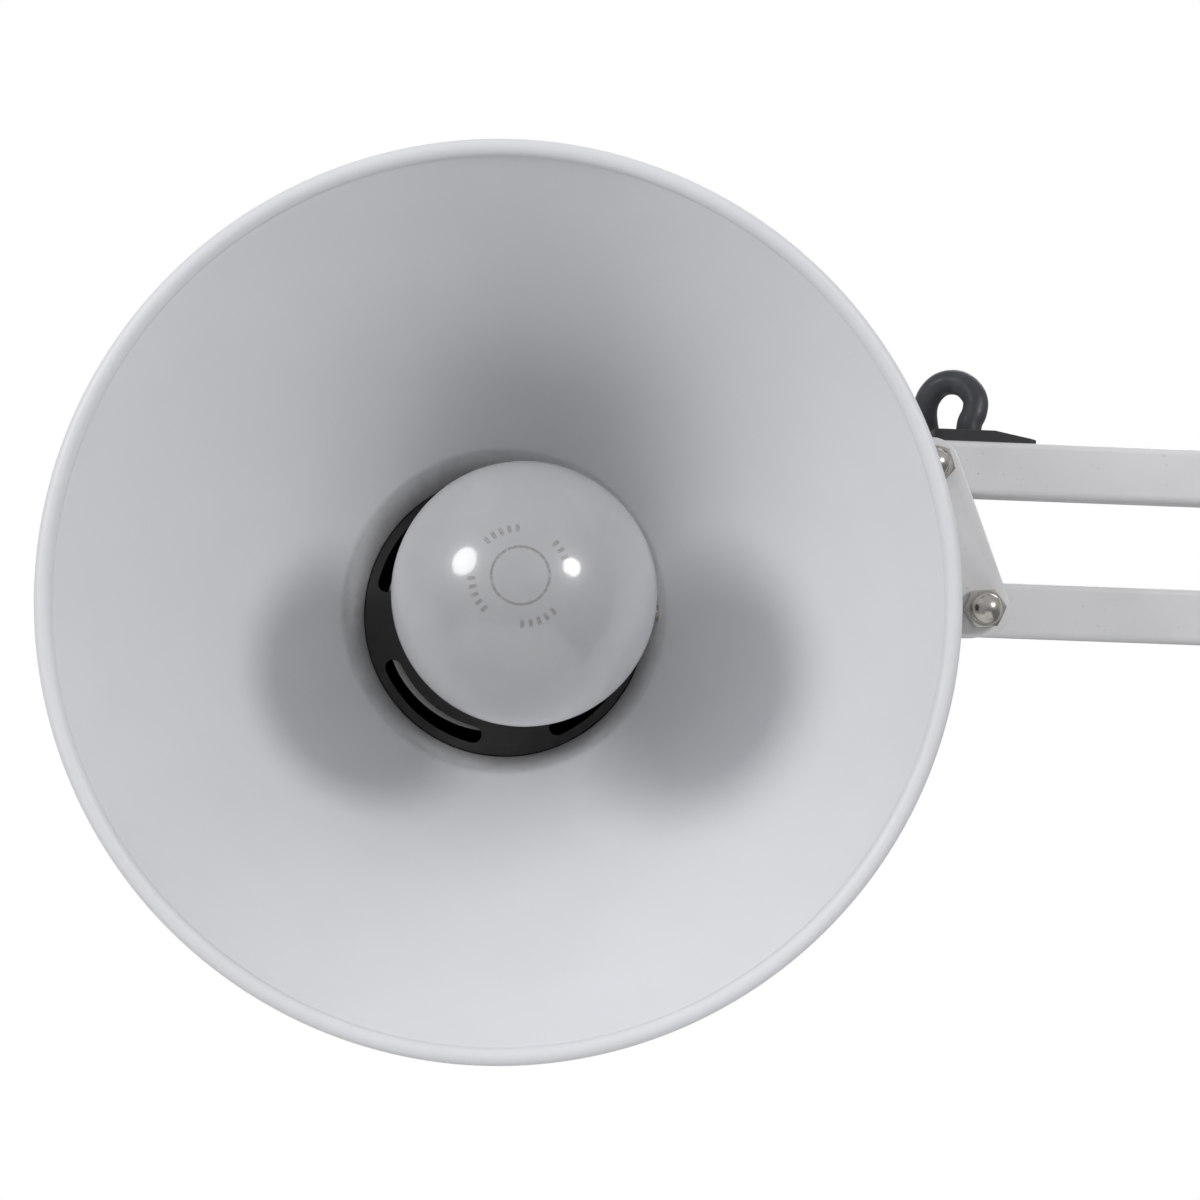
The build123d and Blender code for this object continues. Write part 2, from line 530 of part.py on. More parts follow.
plug_place = Plane(origin=(-114, 56.5, PLUG_Z), x_dir=(-0.976, 0.217, 0), z_dir=(0, 0, 1)).location
shank_part = Pos(7, 0, 0) * Rot(0, 90, 0) * Cone(3.6, 5.4, 14.0)
grip = Pos(26, 0, 0) * fillet(Box(26, 17, 13).edges(), 2.5)
bore = Pos(3, 0, 0) * Rot(0, 90, 0) * Cylinder(FLEX_R + 0.02, 6.2)
pin_sockets = [Pos(40, y, 0) * Rot(0, 90, 0) * Cylinder(2.02, 12) for y in (-5.5, 5.5)]
save("mains_plug", plug_place * (shank_part + grip - bore - pin_sockets[0] - pin_sockets[1]))
pins = [Pos(46.5, y, 0) * Rot(0, 90, 0) * Cylinder(2.0, 25) for y in (-5.5, 5.5)]
save("plug_pins", *[plug_place * p for p in pins])
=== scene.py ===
import math
from math import cos, pi, radians, sin, tan

import bmesh
import bpy
from mathutils import Matrix, Vector

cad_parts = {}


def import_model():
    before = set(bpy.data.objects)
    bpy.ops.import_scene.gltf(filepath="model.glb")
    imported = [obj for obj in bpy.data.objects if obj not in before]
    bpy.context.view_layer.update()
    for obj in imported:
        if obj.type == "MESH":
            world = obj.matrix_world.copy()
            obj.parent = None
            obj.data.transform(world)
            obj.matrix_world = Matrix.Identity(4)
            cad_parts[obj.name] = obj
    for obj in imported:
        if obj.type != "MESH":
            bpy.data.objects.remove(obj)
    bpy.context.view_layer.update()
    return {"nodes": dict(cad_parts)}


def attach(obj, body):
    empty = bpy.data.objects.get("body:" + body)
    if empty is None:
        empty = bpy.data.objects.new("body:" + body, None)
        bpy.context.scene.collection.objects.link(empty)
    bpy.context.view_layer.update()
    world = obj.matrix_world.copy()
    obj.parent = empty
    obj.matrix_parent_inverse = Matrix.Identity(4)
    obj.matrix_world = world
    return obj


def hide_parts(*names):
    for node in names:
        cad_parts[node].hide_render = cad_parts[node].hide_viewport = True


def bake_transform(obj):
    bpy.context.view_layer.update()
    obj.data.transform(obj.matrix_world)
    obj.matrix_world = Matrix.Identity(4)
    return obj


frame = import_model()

# A spring-balanced clamp lamp. Metres, in the CAD frame: z = 0 is the desk top, x = y = 0 the swivel
# post, the arms lie in the plane y = 0, and the shade opens towards -Y.

# ---------------------------------------------------------------- sizes shared with the CAD model

ARM = 0.350
BAR = 0.012
LEAN, RISE = radians(20.0), radians(2.0)
LOWER_DIR = Vector((sin(LEAN), 0, cos(LEAN)))
UPPER_DIR = Vector((-cos(RISE), 0, sin(RISE)))
S1, S2 = Vector((-0.015, 0, 0.058)), Vector((0.015, 0, 0.058))
E1, E2 = S1 + ARM * LOWER_DIR, S2 + ARM * LOWER_DIR
E4 = E1 + Vector((-0.010, 0, 0.024))
E3 = E4 + Vector((-0.0109, 0, 0.0314))
P1, P2 = E3 + ARM * UPPER_DIR, E4 + ARM * UPPER_DIR
HEAD = P2 + Vector((-0.1047, 0, 0.0005))
P3 = HEAD + Vector((0.082, 0, 0))
RIM_Y = -0.051
PLATE_IN, PLATE_OUT = 0.0063, 0.0083
PLATE_R = 0.0062
BOLT_R = 0.0025
BORE_R = BOLT_R + 0.00002
NUT_AF = 0.008
PIN_R, PIN_END = 0.00175, 0.018
SPRING_Y = 0.014
LOWER_HOOK, LOWER_STUD = S1 + Vector((-0.024, 0, 0.004)), S1 + 0.115 * LOWER_DIR
UPPER_HOOK, UPPER_STUD = E3 + Vector((0.008, 0, 0.024)), E3 + 0.120 * UPPER_DIR
FLEX_R = 0.0028
ENTRY_MOUTH = BAR / 2 + 0.0026
EXIT, HEAD_EXIT = 0.022, 0.0094
EYE_Y = 0.0154
CLIP_Y = 0.021
BASE_CLIP = Vector((0.008, 0.022, 0.052))
DESK = 0.025


# ---------------------------------------------------------------- camera

def camera():
    """The view into the lamp's head: a 70 mm lens, half a metre in front of the shade's rim."""
    data = bpy.data.cameras.new("camera")
    data.lens = 69.6
    data.sensor_width = 36.0
    obj = bpy.data.objects.new("camera", data)
    bpy.context.scene.collection.objects.link(obj)
    yaw, pitch = radians(1.93), radians(2.0)
    look = Vector((sin(yaw) * cos(pitch), cos(yaw) * cos(pitch), sin(pitch)))
    obj.location = (HEAD.x + 0.0041, RIM_Y - 0.461, HEAD.z - 0.0163)
    obj.rotation_euler = look.to_track_quat("-Z", "Y").to_euler()
    bpy.context.scene.camera = obj


camera()


# ---------------------------------------------------------------- materials

class Shader:
    """One material's node tree, with short calls for the nodes that the lamp's finishes use."""

    def __init__(self, name, **sockets):
        self.material = bpy.data.materials.new(name)
        self.material.use_nodes = True
        self.tree = self.material.node_tree
        self.surface = self.tree.nodes["Principled BSDF"]
        for socket, value in sockets.items():
            self.surface.inputs[socket.replace("_", " ").title().replace("Ior", "IOR")].default_value = value
        self.coordinates = self.add("ShaderNodeTexCoord").outputs["Object"]

    def add(self, kind, inputs=(), **settings):
        """A node, with its settings, and its inputs as values or links."""
        node = self.tree.nodes.new(kind)
        for key, value in settings.items():
            setattr(node, key, value)
        for key, value in dict(inputs).items():
            if isinstance(value, bpy.types.NodeSocket):
                self.tree.links.new(value, node.inputs[key])
            else:
                node.inputs[key].default_value = value
        return node

    def link(self, output, name):
        self.tree.links.new(output, self.surface.inputs[name])

    def stretched(self, x, y, z):
        """Object coordinates scaled along each axis, for streaks."""
        return self.add("ShaderNodeVectorMath", {0: self.coordinates, 1: (x, y, z)}, operation="MULTIPLY").outputs[0]

    def noise(self, scale, detail=2.0, roughness=0.5, vector=None):
        vector = vector or self.coordinates
        fields = {"Vector": vector, "Scale": scale, "Detail": detail, "Roughness": roughness}
        return self.add("ShaderNodeTexNoise", fields).outputs["Fac"]

    def cells(self, scale):
        return self.add("ShaderNodeTexVoronoi", {"Vector": self.coordinates, "Scale": scale}).outputs["Distance"]

    def spread(self, value, low, high, to_low=0.0, to_high=1.0):
        """A value mapped smoothly from one range to another."""
        fields = {0: value, 1: low, 2: high, 3: to_low, 4: to_high}
        return self.add("ShaderNodeMapRange", fields, interpolation_type="SMOOTHSTEP").outputs[0]

    def calc(self, operation, a, b=0.0):
        return self.add("ShaderNodeMath", {0: a, 1: b}, operation=operation).outputs[0]

    def hypot(self, a, b):
        return self.calc("SQRT", self.calc("ADD", self.calc("MULTIPLY", a, a), self.calc("MULTIPLY", b, b)))

    def offset_from(self, point):
        """The x, y and z sockets of the way from a point to the surface."""
        way = self.add("ShaderNodeVectorMath", {0: self.coordinates, 1: point}, operation="SUBTRACT").outputs[0]
        return self.add("ShaderNodeSeparateXYZ", {0: way}).outputs

    def mixed(self, factor, a, b):
        """One colour or the other, by a factor."""
        return self.add("ShaderNodeMix", {0: factor, 6: a, 7: b}, data_type="RGBA").outputs[2]

    def edges(self, radius=0.0006):
        """1 on worn outer edges and 0 on flats, from how far a rounded normal leaves the true one."""
        bevel = self.add("ShaderNodeBevel", {"Radius": radius}, samples=4).outputs[0]
        normal = self.add("ShaderNodeNewGeometry").outputs["Normal"]
        dot = self.add("ShaderNodeVectorMath", {0: bevel, 1: normal}, operation="DOT_PRODUCT").outputs["Value"]
        return self.spread(dot, 0.99, 0.86)

    def bump(self, height, distance, strength=1.0, over=None):
        fields = {"Height": height, "Distance": distance, "Strength": strength}
        if over is not None:
            fields["Normal"] = over
        return self.add("ShaderNodeBump", fields).outputs["Normal"]


def grey(value, red=0.0, blue=0.0):
    """A linear grey, tinted a little."""
    return (value + red, value, value + blue, 1.0)


def white_enamel(name="white_enamel", painted_shade=None):
    """White powder coat: orange peel, faint clouds of dust, edges rubbed a little bare, and painted shade in near
    black on any part that a mask marks.
    """
    s = Shader(name, coat_weight=0.25, coat_roughness=0.16, ior=1.5)
    clouds = s.spread(s.noise(28.0, 5.0, 0.6), 0.35, 0.7)
    specks = s.spread(s.noise(900.0, 2.0, 0.5), 0.70, 0.78)
    colour = s.mixed(clouds, grey(0.80, 0.006, 0.002), grey(0.74, 0.006, 0.002))
    colour = s.mixed(s.calc("MULTIPLY", specks, 0.35), colour, grey(0.45))
    rubbed = s.calc("MULTIPLY", s.edges(), s.spread(s.noise(420.0, 4.0, 0.6), 0.5, 0.66))
    colour = s.mixed(s.calc("MULTIPLY", rubbed, 0.45), colour, grey(0.42))
    if painted_shade:
        # Painted shade: near black wherever the mask marks, for the dark inside of the back cap.
        colour = s.mixed(painted_shade(s), colour, grey(0.012))
    s.link(colour, "Base Color")
    s.link(s.spread(s.noise(70.0, 4.0, 0.6), 0.3, 0.7, 0.30, 0.42), "Roughness")
    peel = s.bump(s.noise(1150.0, 2.0, 0.5), 0.00004, 0.35)
    s.link(s.bump(s.noise(120.0, 2.0, 0.5), 0.0003, 0.10, over=peel), "Normal")
    return s.material


CAP_CORNER_R, CAP_CORNER_DEPTH, CAP_CORNER = 0.0289, 0.162, 0.0085


def cap_inner_shade_mask(s):
    """1 on the back cap's inner face, where painted shade in near black goes, by the distance from the centre of its
    rounded back corner.
    """
    x, depth, z = s.offset_from((HEAD.x, RIM_Y, HEAD.z))
    out = s.calc("MAXIMUM", s.calc("SUBTRACT", s.hypot(x, z), CAP_CORNER_R), 0.0)
    back = s.calc("MAXIMUM", s.calc("SUBTRACT", depth, CAP_CORNER_DEPTH), 0.0)
    return s.calc("LESS_THAN", s.hypot(out, back), CAP_CORNER)


def shade_white():
    """The shade's satin white inside and out: spinning rings under the paint, faint dust, soft sheen."""
    s = Shader("shade_white", coat_weight=0.12, coat_roughness=0.35, ior=1.45)
    clouds = s.spread(s.noise(16.0, 4.0, 0.55), 0.3, 0.7)
    colour = s.mixed(clouds, grey(0.86, -0.008, 0.020), grey(0.82, -0.008, 0.018))
    dust = s.spread(s.noise(1400.0, 2.0, 0.5), 0.72, 0.80)
    colour = s.mixed(s.calc("MULTIPLY", dust, 0.25), colour, grey(0.50))
    s.link(colour, "Base Color")
    s.link(s.spread(s.noise(45.0, 3.0, 0.6), 0.3, 0.7, 0.44, 0.54), "Roughness")
    rings = s.noise(1.0, 2.0, 0.6, vector=s.stretched(0.0, 900.0, 0.0))
    spun = s.bump(rings, 0.00003, 0.16)
    s.link(s.bump(s.noise(1000.0, 2.0, 0.5), 0.00003, 0.28, over=spun), "Normal")
    return s.material


def neck_painted_light():
    """The shade's neck inside: the same white painted lighter, as painted light deep in the neck, with faint turning
    rings and lighter and darker smears along it.
    """
    s = Shader("neck_painted_light", specular_ior_level=0.15, ior=1.4)
    rings = s.noise(1.0, 3.0, 0.7, vector=s.stretched(30.0, 1500.0, 30.0))
    smears_and_painted_light = s.noise(1.0, 4.0, 0.6, vector=s.stretched(150.0, 22.0, 150.0))
    # Painted light: the neck's white goes lighter than the cone's, in streaks along it.
    s.link(s.mixed(s.spread(smears_and_painted_light, 0.35, 0.68), grey(0.94, -0.006, 0.020), grey(0.82, -0.004, 0.018)), "Base Color")
    s.link(s.spread(smears_and_painted_light, 0.3, 0.7, 0.55, 0.75), "Roughness")
    s.link(s.bump(rings, 0.00003, 0.25), "Normal")
    return s.material


def nickel():
    """Satin nickel plate on nuts and bolts: warm, finely scratched, duller in its dimples."""
    s = Shader("nickel", metallic=1.0, ior=1.5)
    patches = s.noise(260.0, 4.0, 0.6)
    colour = s.mixed(s.spread(patches, 0.35, 0.65), (0.62, 0.585, 0.54, 1), (0.50, 0.470, 0.43, 1))
    worn = s.calc("MULTIPLY", s.edges(0.0004), 0.6)
    s.link(s.mixed(worn, colour, (0.72, 0.69, 0.65, 1)), "Base Color")
    s.link(s.spread(patches, 0.3, 0.7, 0.20, 0.34), "Roughness")
    scratches = s.noise(1.0, 3.0, 0.7, vector=s.stretched(900.0, 5200.0, 900.0))
    s.link(s.bump(scratches, 0.00002, 0.22), "Normal")
    return s.material


def spring_steel():
    """Bright drawn spring wire, with drawing lines and a trace of oil stain."""
    s = Shader("spring_steel", metallic=1.0, coat_weight=0.15, coat_roughness=0.2)
    stain = s.spread(s.noise(180.0, 4.0, 0.6), 0.5, 0.75)
    s.link(s.mixed(stain, (0.56, 0.56, 0.57, 1), (0.30, 0.28, 0.25, 1)), "Base Color")
    s.link(s.spread(stain, 0.0, 1.0, 0.22, 0.42), "Roughness")
    s.link(s.bump(s.noise(2600.0, 2.0, 0.5), 0.00001, 0.3), "Normal")
    return s.material


def zinc_steel():
    """Zinc-plated steel: cool grey with the faint spangle and yellow bloom of plating."""
    s = Shader("zinc_steel", metallic=1.0)
    spangle = s.cells(480.0)
    bloom = s.spread(s.noise(90.0, 4.0, 0.6), 0.45, 0.75)
    base = s.mixed(s.spread(spangle, 0.1, 0.6), (0.55, 0.56, 0.58, 1), (0.42, 0.43, 0.45, 1))
    s.link(s.mixed(s.calc("MULTIPLY", bloom, 0.4), base, (0.52, 0.48, 0.38, 1)), "Base Color")
    s.link(s.spread(spangle, 0.0, 0.6, 0.26, 0.40), "Roughness")
    s.link(s.bump(s.noise(1800.0, 3.0, 0.6), 0.00002, 0.35), "Normal")
    return s.material


def black_nylon():
    """Moulded black nylon: spark-eroded grain, paler scuffed edges and a little dust."""
    s = Shader("black_nylon", ior=1.53)
    grain = s.noise(2400.0, 3.0, 0.6)
    dust = s.spread(s.noise(60.0, 5.0, 0.65), 0.5, 0.8)
    colour = s.mixed(s.calc("MULTIPLY", dust, 0.5), (0.021, 0.021, 0.022, 1), (0.05, 0.05, 0.052, 1))
    s.link(s.mixed(s.calc("MULTIPLY", s.edges(0.0004), 0.5), colour, (0.085, 0.085, 0.088, 1)), "Base Color")
    s.link(s.spread(s.noise(500.0, 3.0, 0.6), 0.3, 0.7, 0.42, 0.58), "Roughness")
    s.link(s.bump(grain, 0.00004, 0.5), "Normal")
    return s.material


def black_plate():
    """Blackened sheet steel: matt, mottled, with fine dust lying on it."""
    s = Shader("black_plate", metallic=0.25, ior=1.45)
    mottle = s.spread(s.noise(150.0, 5.0, 0.65), 0.3, 0.7)
    colour = s.mixed(mottle, (0.085, 0.085, 0.086, 1), (0.110, 0.109, 0.108, 1))
    dust = s.spread(s.noise(1300.0, 2.0, 0.5), 0.66, 0.78)
    s.link(s.mixed(s.calc("MULTIPLY", dust, 0.4), colour, (0.16, 0.16, 0.155, 1)), "Base Color")
    s.link(s.spread(mottle, 0.0, 1.0, 0.66, 0.82), "Roughness")
    s.link(s.bump(s.noise(2000.0, 3.0, 0.6), 0.00003, 0.5), "Normal")
    return s.material


def ceramic():
    """Glazed lampholder ceramic, slightly pitted."""
    s = Shader("white_ceramic", coat_weight=0.6, coat_roughness=0.12)
    pits = s.spread(s.noise(1100.0, 2.0, 0.5), 0.70, 0.80)
    base = s.mixed(s.spread(s.noise(60.0, 4.0, 0.6), 0.3, 0.7), (0.76, 0.74, 0.69, 1), (0.68, 0.66, 0.61, 1))
    s.link(s.mixed(s.calc("MULTIPLY", pits, 0.6), base, (0.30, 0.28, 0.25, 1)), "Base Color")
    s.link(s.spread(pits, 0.0, 1.0, 0.30, 0.6), "Roughness")
    s.link(s.bump(s.noise(700.0, 2.0, 0.5), 0.00004, 0.3), "Normal")
    return s.material


def brass():
    """Dull brass of the bulb's contact and the plug's pins, tarnished in patches."""
    s = Shader("brass", metallic=1.0)
    tarnish = s.spread(s.noise(220.0, 5.0, 0.65), 0.4, 0.7)
    s.link(s.mixed(tarnish, (0.72, 0.55, 0.27, 1), (0.42, 0.29, 0.13, 1)), "Base Color")
    s.link(s.spread(tarnish, 0.0, 1.0, 0.22, 0.45), "Roughness")
    s.link(s.bump(s.noise(1.0, 3.0, 0.6, vector=s.stretched(600.0, 600.0, 4200.0)), 0.00002, 0.3), "Normal")
    return s.material


def bulb_cap_metal():
    """The bulb's nickelled screw cap, streaked by its holder."""
    s = Shader("bulb_cap_metal", metallic=1.0)
    streaks = s.noise(1.0, 3.0, 0.6, vector=s.stretched(300.0, 2800.0, 300.0))
    s.link(s.mixed(s.spread(streaks, 0.3, 0.7), (0.60, 0.59, 0.57, 1), (0.45, 0.44, 0.42, 1)), "Base Color")
    s.link(s.spread(streaks, 0.3, 0.7, 0.22, 0.38), "Roughness")
    s.link(s.bump(streaks, 0.00002, 0.3), "Normal")
    return s.material


def clear_glass():
    """The bulb's inner glass stem, a little smoky at its pinch."""
    s = Shader("clear_glass", transmission_weight=0.9, ior=1.5)
    smoke = s.spread(s.noise(160.0, 4.0, 0.6), 0.4, 0.7)
    s.link(s.mixed(smoke, (0.93, 0.95, 0.95, 1), (0.78, 0.80, 0.80, 1)), "Base Color")
    s.link(s.spread(smoke, 0.0, 1.0, 0.03, 0.10), "Roughness")
    s.link(s.bump(s.noise(300.0, 2.0, 0.5), 0.00005, 0.3), "Normal")
    return s.material


def flex_pvc():
    """Dark grey PVC sheath: faint core twist showing through, drag marks and a dusty bloom."""
    s = Shader("flex_pvc", ior=1.52, sheen_weight=0.12, sheen_roughness=0.4)
    bloom = s.spread(s.noise(130.0, 5.0, 0.65), 0.35, 0.75)
    s.link(s.mixed(bloom, (0.034, 0.036, 0.042, 1), (0.060, 0.062, 0.070, 1)), "Base Color")
    s.link(s.spread(s.noise(420.0, 3.0, 0.6), 0.3, 0.7, 0.36, 0.52), "Roughness")
    ripple = s.bump(s.noise(210.0, 2.0, 0.5), 0.0002, 0.22)
    s.link(s.bump(s.noise(2400.0, 3.0, 0.6), 0.00003, 0.4, over=ripple), "Normal")
    return s.material


def plug_black():
    """The moulded-on plug: soft black PVC with a fine grain and shiny rubbed edges."""
    s = Shader("plug_black", ior=1.5)
    rubbed = s.edges(0.0008)
    dust = s.spread(s.noise(85.0, 5.0, 0.65), 0.5, 0.8)
    base = s.mixed(dust, (0.020, 0.020, 0.021, 1), (0.048, 0.047, 0.046, 1))
    s.link(s.mixed(s.calc("MULTIPLY", rubbed, 0.4), base, (0.07, 0.07, 0.072, 1)), "Base Color")
    s.link(s.spread(rubbed, 0.0, 1.0, 0.54, 0.36), "Roughness")
    s.link(s.bump(s.noise(1900.0, 3.0, 0.6), 0.00005, 0.5), "Normal")
    return s.material


def pad_rubber():
    """Grey-black rubber of the clamp's pads, with a matt bloom."""
    s = Shader("pad_rubber", ior=1.5)
    bloom = s.spread(s.noise(110.0, 5.0, 0.7), 0.35, 0.75)
    s.link(s.mixed(bloom, (0.018, 0.018, 0.018, 1), (0.052, 0.051, 0.049, 1)), "Base Color")
    s.link(s.spread(s.noise(900.0, 3.0, 0.6), 0.3, 0.7, 0.66, 0.82), "Roughness")
    s.link(s.bump(s.noise(1500.0, 4.0, 0.6), 0.00006, 0.6), "Normal")
    return s.material


PRINT_CENTRE = (-0.0027, 0.0, 0.0018)
PRINT_EDGE_Y = -0.066
PRINT_RING_R, PRINT_TICK_R = 0.0058, 0.0097
PRINT_TICKS, PRINT_GROUPS = 36.0, 4.0


def opal_glass():
    """Opal bulb glass: milky, with faint blotches of its coating, and a fine printed ring and ticks at the tip."""
    s = Shader("opal_glass", coat_weight=1.0, coat_roughness=0.09, ior=1.5,
               subsurface_weight=0.5, subsurface_scale=0.010)
    s.surface.inputs["Subsurface Radius"].default_value = (1.0, 1.0, 1.0)
    blotch = s.spread(s.noise(75.0, 4.0, 0.55), 0.3, 0.7)
    milk = s.mixed(blotch, grey(0.60, -0.004, 0.020), grey(0.56, -0.004, 0.020))
    x, y, z = s.offset_from(PRINT_CENTRE)
    radius = s.hypot(x, z)
    at_tip = s.calc("LESS_THAN", y, PRINT_EDGE_Y)

    def band(at, width):
        """1 within a thin ring about the tip, soft at its edges."""
        off = s.calc("ABSOLUTE", s.calc("SUBTRACT", radius, at))
        return s.spread(off, width * 0.35, width, 1.0, 0.0)

    angle = s.calc("ARCTAN2", z, x)
    ticks = s.calc("GREATER_THAN", s.calc("SINE", s.calc("MULTIPLY", angle, PRINT_TICKS)), 0.1)
    groups = s.calc("GREATER_THAN", s.calc("SINE", s.calc("MULTIPLY", angle, PRINT_GROUPS)), -0.35)
    ticks = s.calc("MULTIPLY", ticks, groups)
    worn_ink = s.spread(s.noise(1700.0, 2.0, 0.6), 0.30, 0.48, 0.35, 1.0)
    marks = s.calc("ADD", band(PRINT_RING_R, 0.0004), s.calc("MULTIPLY", band(PRINT_TICK_R, 0.0011), ticks))
    ink = s.calc("MULTIPLY", s.calc("MULTIPLY", s.calc("MINIMUM", marks, 1.0), worn_ink), at_tip)
    s.link(s.mixed(s.calc("MULTIPLY", ink, 0.62), milk, grey(0.20, 0.03, -0.01)), "Base Color")
    s.link(s.spread(blotch, 0.0, 1.0, 0.30, 0.33), "Roughness")
    s.link(s.bump(s.noise(900.0, 2.0, 0.5), 0.00001, 0.05), "Normal")
    return s.material


SLOTS = {
    "white_enamel": white_enamel(), "nickel": nickel(), "spring_steel": spring_steel(),
    "zinc_steel": zinc_steel(), "black_nylon": black_nylon(), "black_plate": black_plate(),
    "white_ceramic": ceramic(), "brass": brass(), "bulb_cap_metal": bulb_cap_metal(),
    "opal_glass": opal_glass(), "clear_glass": clear_glass(), "flex_pvc": flex_pvc(),
    "plug_black": plug_black(), "pad_rubber": pad_rubber(),
}
SHADE_WHITE, NECK_PAINTED_LIGHT = shade_white(), neck_painted_light()
# The back cap's inner face is painted near black as shade behind the vent slots.
CAP_ENAMEL_WITH_SHADE = white_enamel("cap_enamel_with_shade", cap_inner_shade_mask)


def finish_cad_nodes():
    """Every CAD node gets its slot's own finish in place of the plain one."""
    for obj in frame["nodes"].values():
        for place in obj.material_slots:
            name = place.material.name.split(".")[0]
            place.material = CAP_ENAMEL_WITH_SHADE if obj.name == "back_cap" else SLOTS[name]


finish_cad_nodes()


# ---------------------------------------------------------------- mesh tools

def link_object(name, data):
    obj = bpy.data.objects.new(name, data)
    bpy.context.scene.collection.objects.link(obj)
    return obj


def piece(name, mesh, slot, body=None, stands_for=(), materials=None, sharp=32.0):
    """A finished piece of the lamp: smooth but for its sharp edges, in its slot's material, riding its body."""
    mesh.shade_smooth()
    mesh.set_sharp_from_angle(angle=radians(sharp))
    obj = link_object(name, mesh)
    for material in materials or [SLOTS[slot]]:
        mesh.materials.append(material)
    if body:
        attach(obj, body)
    if stands_for:
        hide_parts(*stands_for)
    return obj


def from_bmesh(name, bm):
    bmesh.ops.remove_doubles(bm, verts=bm.verts, dist=1e-7)
    bmesh.ops.recalc_face_normals(bm, faces=bm.faces)
    mesh = bpy.data.meshes.new(name)
    bm.to_mesh(mesh)
    bm.free()
    return mesh


def joined(name, meshes):
    """Several meshes as one."""
    bm = bmesh.new()
    for mesh in meshes:
        bm.from_mesh(mesh)
        bpy.data.meshes.remove(mesh)
    mesh = bpy.data.meshes.new(name)
    bm.to_mesh(mesh)
    bm.free()
    return mesh


def moved(mesh, matrix):
    mesh.transform(matrix)
    return mesh


def arc(centre, r, start, end, steps):
    """Points round an arc, angles in degrees."""
    turns = [radians(start + (end - start) * k / steps) for k in range(steps + 1)]
    return [(centre[0] + r * cos(t), centre[1] + r * sin(t)) for t in turns]


def skin(bm, rows, closed_rows=False):
    """Quads between rows of vertices, each row a ring; a row of one vertex closes to a point."""
    pairs = list(zip(rows, rows[1:]))
    if closed_rows:
        pairs.append((rows[-1], rows[0]))
    for a, b in pairs:
        count = max(len(a), len(b))
        if count == 1:
            continue
        for k in range(count):
            corners = [a[k % len(a)], a[(k + 1) % len(a)], b[(k + 1) % len(b)], b[k % len(b)]]
            corners = [v for i, v in enumerate(corners) if v not in corners[:i]]
            bm.faces.new(corners)


def spun(name, profile, steps=96, closed=False):
    """A (radius, height) profile spun about local Z."""
    bm = bmesh.new()
    rows = []
    for r, h in profile:
        if r < 1e-9:
            rows.append([bm.verts.new((0, 0, h))])
            continue
        turns = [2 * pi * k / steps for k in range(steps)]
        rows.append([bm.verts.new((r * cos(t), r * sin(t), h)) for t in turns])
    skin(bm, rows, closed)
    return from_bmesh(name, bm)


def outline_about(points, r, steps=14):
    """A convex outline at a distance r round some (x, z) points, given anticlockwise, its corners round."""
    loop = []
    count = len(points)
    for k, (x, y) in enumerate(points):
        before, after = points[k - 1], points[(k + 1) % count]
        first = math.degrees(math.atan2(y - before[1], x - before[0])) - 90
        last = math.degrees(math.atan2(after[1] - y, after[0] - x)) - 90
        loop += arc((x, y), r, first, first + (last - first) % 360, steps)
    return loop


def circle(centre, r, steps=40):
    return arc(centre, r, 0, 360, steps)[:-1]


ARM_PLANE = Matrix(((1, 0, 0, 0), (0, 0, -1, 0), (0, 1, 0, 0), (0, 0, 0, 1)))


def plate(name, loops, thickness, edge=0.00035):
    """A flat plate in local XY with rounded edges: the first loop is its outline, the others are holes."""
    curve = bpy.data.curves.new(name, "CURVE")
    curve.dimensions = "2D"
    curve.fill_mode = "BOTH"
    curve.extrude = thickness / 2 - edge
    curve.bevel_depth = edge
    curve.bevel_resolution = 3
    curve.offset = -edge
    for loop in loops:
        spline = curve.splines.new("POLY")
        spline.points.add(len(loop) - 1)
        for point, (x, y) in zip(spline.points, loop):
            point.co = (x, y, 0, 1)
        spline.use_cyclic_u = True
    holder = link_object(name, curve)
    raw = bpy.data.meshes.new_from_object(holder)
    bpy.data.objects.remove(holder)
    bpy.data.curves.remove(curve)
    bm = bmesh.new()
    bm.from_mesh(raw)
    bpy.data.meshes.remove(raw)
    bmesh.ops.remove_doubles(bm, verts=bm.verts, dist=2e-6)
    return from_bmesh(name, bm)


def flat(p):
    """A point of the arm plane as (x, z)."""
    return (p.x, p.z)


def in_arm_plane(mesh, y=0.0):
    """Local XY laid into the arm plane, at a distance y from it."""
    return moved(mesh, Matrix.Translation((0, y, 0)) @ ARM_PLANE)


def centre_line(points):
    """Points read along the NURBS spline that has these control points."""
    curve = bpy.data.curves.new("centre_line", "CURVE")
    curve.dimensions = "3D"
    spline = curve.splines.new("NURBS")
    spline.points.add(len(points) - 1)
    for control, point in zip(spline.points, points):
        control.co = (*point, 1)
    spline.order_u = 3
    spline.use_endpoint_u = True
    spline.resolution_u = 10
    holder = link_object("centre_line", curve)
    mesh = bpy.data.meshes.new_from_object(holder)
    line = [v.co.copy() for v in mesh.vertices]
    bpy.data.objects.remove(holder)
    bpy.data.curves.remove(curve)
    bpy.data.meshes.remove(mesh)
    return line


def tube(name, line, r, sides=20):
    """A round closed tube along a line of points."""
    bm = bmesh.new()
    rows = []
    count = len(line)
    across = None
    for k, p in enumerate(line):
        ahead = (line[min(k + 1, count - 1)] - line[max(k - 1, 0)]).normalized()
        across = across or ahead.orthogonal().normalized()
        across = (across - ahead * across.dot(ahead)).normalized()
        up = ahead.cross(across)
        turns = [2 * pi * j / sides for j in range(sides)]
        rows.append([bm.verts.new(p + r * (cos(t) * across + sin(t) * up)) for t in turns])
    skin(bm, rows)
    bm.faces.new(rows[0])
    bm.faces.new(rows[-1])
    return from_bmesh(name, bm)


